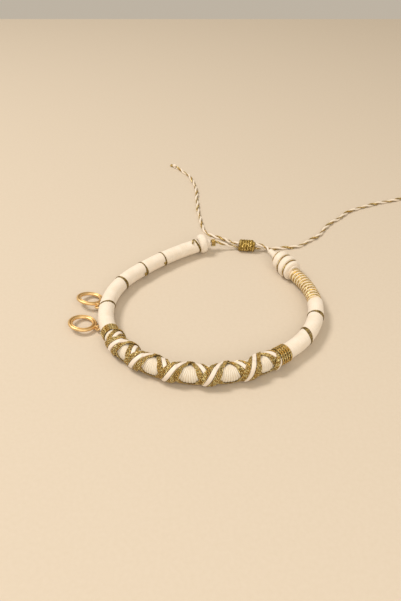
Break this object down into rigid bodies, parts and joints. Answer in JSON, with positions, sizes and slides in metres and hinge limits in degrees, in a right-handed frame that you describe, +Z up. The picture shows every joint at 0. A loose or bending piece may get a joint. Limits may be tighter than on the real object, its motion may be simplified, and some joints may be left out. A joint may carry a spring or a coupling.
{
  "type": "anklet",
  "caption": "Soft thread-wound anklet with crossed gold and white strips, gold hoop charms and twisted cords closed by a sliding knot.",
  "frame": {"origin": "middle of the band's box (without the closing cords), at the surface it lies on", "axes": "+Z up through the ankle opening, +Y from the crossed front to the closing knot, +X to the right seen from the front"},
  "size_m": [0.151, 0.1664, 0.0088],
  "materials": {
    "white_thread": "satin",
    "gold_thread": "metallic thread",
    "cotton_core": "matte",
    "twisted_cord": "satin",
    "hoop_metal": "polished"
  },
  "bodies": {
    "root": {"core_rope": "cotton_core", "left_wrap_1": "white_thread", "left_wrap_2": "white_thread", "left_wrap_3": "white_thread", "left_wrap_4": "white_thread", "left_wrap_5": "white_thread", "left_gold_turn_1": "gold_thread", "left_gold_turn_2": "gold_thread", "left_gold_turn_3": "gold_thread", "left_gold_turn_4": "gold_thread", "thread_knot_1": "gold_thread", "thread_knot_2": "gold_thread", "thread_knot_3": "gold_thread", "left_gold_collar": "gold_thread", "front_base_wrap": "white_thread", "right_gold_collar": "gold_thread", "right_wrap_1": "white_thread", "right_wrap_2": "white_thread", "right_wrap_3": "white_thread", "right_gold_band_1": "gold_thread", "right_gold_band_2": "gold_thread", "striped_white_turns": "white_thread", "striped_gold_turns": "gold_thread", "right_end_binding": "white_thread", "right_binding_gold": "gold_thread", "left_end_binding": "white_thread", "left_binding_gold": "gold_thread", "left_tip_gold": "gold_thread", "cross_under_gold_a": "gold_thread", "cross_under_white": "white_thread", "cross_under_gold_b": "gold_thread", "cross_over_gold_a": "gold_thread", "cross_over_white": "white_thread", "cross_over_gold_b": "gold_thread", "hoop_front": "hoop_metal", "hoop_back": "hoop_metal", "jump_ring_front": "hoop_metal", "jump_ring_back": "hoop_metal", "left_cord": "twisted_cord", "right_cord": "twisted_cord", "sliding_knot": "gold_thread", "left_cord_knot": "white_thread", "right_cord_knot": "white_thread", "left_cord_tip": "gold_thread", "right_cord_tip": "gold_thread"}
  },
  "joints": []
}
